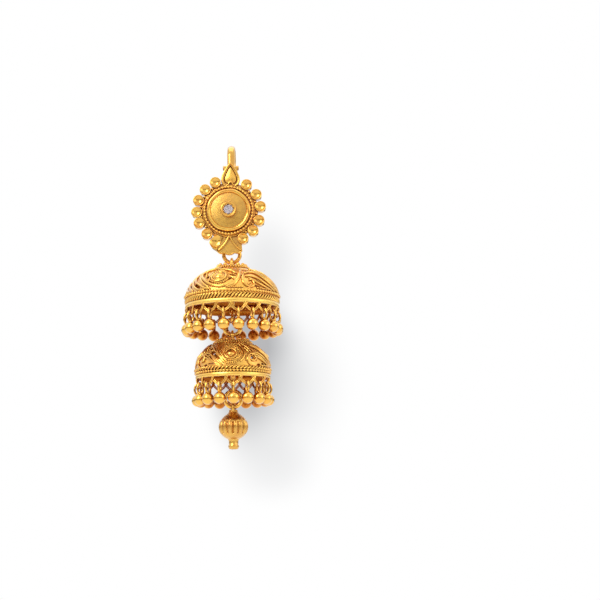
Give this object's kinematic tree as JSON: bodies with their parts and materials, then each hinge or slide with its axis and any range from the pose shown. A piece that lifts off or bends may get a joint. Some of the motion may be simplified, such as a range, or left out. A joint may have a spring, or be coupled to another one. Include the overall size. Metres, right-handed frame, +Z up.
{
  "type": "jhumka earring",
  "caption": "Two-tier gold-coloured jhumka drop earring: flower rosette with a faceted stone on a hinged ear wire, pierced bells fringed with ball drops, and a fluted melon-shaped end drop.",
  "frame": {"origin": "inside top of the ear wire, where the earring hangs in the ear lobe", "axes": "+Z up, the way it hangs; -Y is the decorated front; X across"},
  "size_m": [0.0172, 0.0172, 0.053],
  "materials": {
    "polished_gold": "polished 22 carat gold",
    "satin_gold": "satin, stippled 22 carat gold",
    "clear_stone": "polished clear stone"
  },
  "bodies": {
    "rosette_body": {"rosette": "satin_gold", "stone": "clear_stone"},
    "hook_body": {"ear_hook": "polished_gold"},
    "top_link_body": {"top_link": "polished_gold"},
    "upper_bell_body": {"upper_dome": "polished_gold", "upper_drop_01": "polished_gold", "upper_drop_02": "polished_gold", "upper_drop_03": "polished_gold", "upper_drop_04": "polished_gold", "upper_drop_05": "polished_gold", "upper_drop_06": "polished_gold", "upper_drop_07": "polished_gold", "upper_drop_08": "polished_gold", "upper_drop_09": "polished_gold", "upper_drop_10": "polished_gold", "upper_drop_11": "polished_gold", "upper_drop_12": "polished_gold", "upper_drop_13": "polished_gold", "upper_drop_14": "polished_gold", "upper_drop_15": "polished_gold", "upper_drop_16": "polished_gold", "upper_drop_17": "polished_gold", "upper_drop_18": "polished_gold", "upper_drop_19": "polished_gold", "upper_drop_20": "polished_gold"},
    "mid_link_body": {"mid_link": "polished_gold"},
    "lower_bell_body": {"lower_dome": "polished_gold", "lower_drop_01": "polished_gold", "lower_drop_02": "polished_gold", "lower_drop_03": "polished_gold", "lower_drop_04": "polished_gold", "lower_drop_05": "polished_gold", "lower_drop_06": "polished_gold", "lower_drop_07": "polished_gold", "lower_drop_08": "polished_gold", "lower_drop_09": "polished_gold", "lower_drop_10": "polished_gold", "lower_drop_11": "polished_gold", "lower_drop_12": "polished_gold", "lower_drop_13": "polished_gold", "lower_drop_14": "polished_gold", "lower_drop_15": "polished_gold", "lower_drop_16": "polished_gold"},
    "bottom_link_body": {"bottom_link": "polished_gold"},
    "melon_body": {"melon_drop": "polished_gold"}
  },
  "joints": [
    {"name": "hook_hinge", "type": "hinge", "parent": "rosette_body", "child": "hook_body", "pos_m": [0, -0.003, -0.00385], "axis": [1, 0, 0], "range_deg": [0, 45]},
    {"name": "top_link_swing", "type": "hinge", "parent": "rosette_body", "child": "top_link_body", "pos_m": [0, -0.0028, -0.01774], "axis": [1, 0, 0], "range_deg": [-14, 14]},
    {"name": "upper_bell_swing", "type": "hinge", "parent": "top_link_body", "child": "upper_bell_body", "pos_m": [0, -0.0028, -0.0191], "axis": [0, 1, 0], "range_deg": [-14, 14]},
    {"name": "mid_link_swing", "type": "hinge", "parent": "upper_bell_body", "child": "mid_link_body", "pos_m": [0, -0.0028, -0.03024], "axis": [1, 0, 0], "range_deg": [-15, 15]},
    {"name": "lower_bell_swing", "type": "hinge", "parent": "mid_link_body", "child": "lower_bell_body", "pos_m": [0, -0.0028, -0.0316], "axis": [0, 1, 0], "range_deg": [-12, 12]},
    {"name": "bottom_link_swing", "type": "hinge", "parent": "lower_bell_body", "child": "bottom_link_body", "pos_m": [0, -0.0028, -0.04239], "axis": [1, 0, 0], "range_deg": [-20, 20]},
    {"name": "melon_swing", "type": "hinge", "parent": "bottom_link_body", "child": "melon_body", "pos_m": [0, -0.0028, -0.04375], "axis": [0, 1, 0], "range_deg": [-20, 20]}
  ]
}
